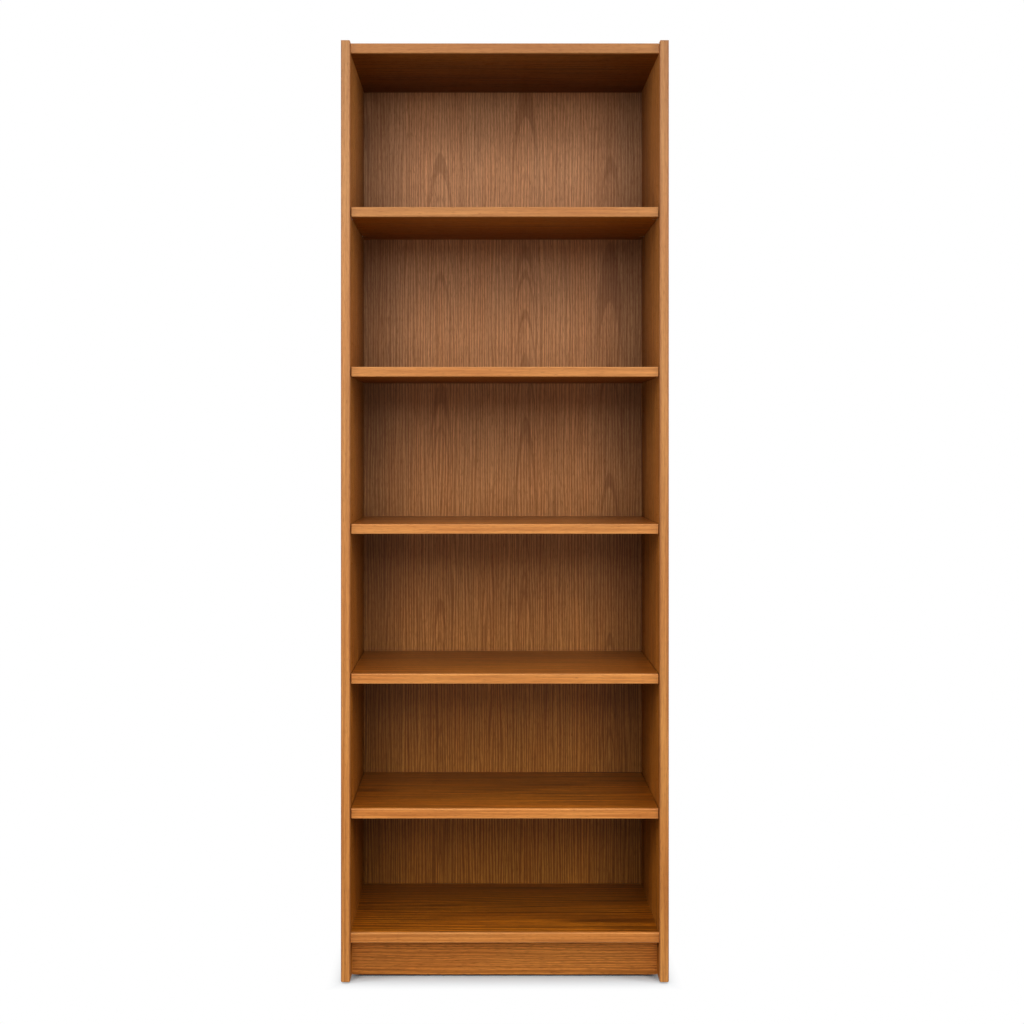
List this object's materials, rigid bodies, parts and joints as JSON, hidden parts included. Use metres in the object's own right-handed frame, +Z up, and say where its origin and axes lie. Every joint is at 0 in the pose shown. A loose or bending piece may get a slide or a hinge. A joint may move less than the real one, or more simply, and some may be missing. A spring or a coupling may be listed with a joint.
{
  "type": "bookcase",
  "caption": "Tall open bookcase of veneered board with lipped front edges, adjustable shelves on hidden pins, a full back panel and a set-back plinth.",
  "frame": {"origin": "on the floor under the middle of the case", "axes": "+X to the right as seen from the front, +Y to the wall behind, +Z up; the open front faces -Y"},
  "size_m": [0.636, 0.28, 1.849],
  "materials": {
    "veneered_board": "satin lacquered veneer",
    "solid_lipping": "satin lacquered solid wood",
    "back_sheet": "satin lacquered veneer",
    "dowel_wood": "bare turned wood",
    "bright_steel": "zinc plated",
    "cam_metal": "dull die-cast metal",
    "brown_plastic": "moulded"
  },
  "bodies": {
    "carcase": {"back_panel": "back_sheet", "back_panel_screws": "bright_steel", "bottom_lipping": "solid_lipping", "bottom_panel": "veneered_board", "cam_bolts": "bright_steel", "cam_caps": "brown_plastic", "cam_locks": "cam_metal", "floor_glides": "brown_plastic", "left_side_lipping": "solid_lipping", "left_side_panel": "veneered_board", "plinth_board": "veneered_board", "right_side_lipping": "solid_lipping", "right_side_panel": "veneered_board", "shelf_1_pins": "bright_steel", "shelf_2_pins": "bright_steel", "shelf_3_pins": "bright_steel", "shelf_4_pins": "bright_steel", "shelf_5_pins": "bright_steel", "top_lipping": "solid_lipping", "top_panel": "veneered_board", "wall_bracket_screws": "bright_steel", "wall_brackets": "bright_steel", "wood_dowels": "dowel_wood"},
    "shelf_1": {"shelf_1_board": "veneered_board", "shelf_1_lipping": "solid_lipping"},
    "shelf_2": {"shelf_2_board": "veneered_board", "shelf_2_lipping": "solid_lipping"},
    "shelf_3": {"shelf_3_board": "veneered_board", "shelf_3_lipping": "solid_lipping"},
    "shelf_4": {"shelf_4_board": "veneered_board", "shelf_4_lipping": "solid_lipping"},
    "shelf_5": {"shelf_5_board": "veneered_board", "shelf_5_lipping": "solid_lipping"}
  },
  "joints": [
    {"name": "shelf_1_lift", "type": "slide", "parent": "carcase", "child": "shelf_1", "axis": [0, 0, 1], "range_m": [0, 0.238]},
    {"name": "shelf_2_lift", "type": "slide", "parent": "carcase", "child": "shelf_2", "axis": [0, 0, 1], "range_m": [0, 0.267]},
    {"name": "shelf_3_lift", "type": "slide", "parent": "carcase", "child": "shelf_3", "axis": [0, 0, 1], "range_m": [0, 0.2815]},
    {"name": "shelf_4_lift", "type": "slide", "parent": "carcase", "child": "shelf_4", "axis": [0, 0, 1], "range_m": [0, 0.2865]},
    {"name": "shelf_5_lift", "type": "slide", "parent": "carcase", "child": "shelf_5", "axis": [0, 0, 1], "range_m": [0, 0.294]}
  ]
}
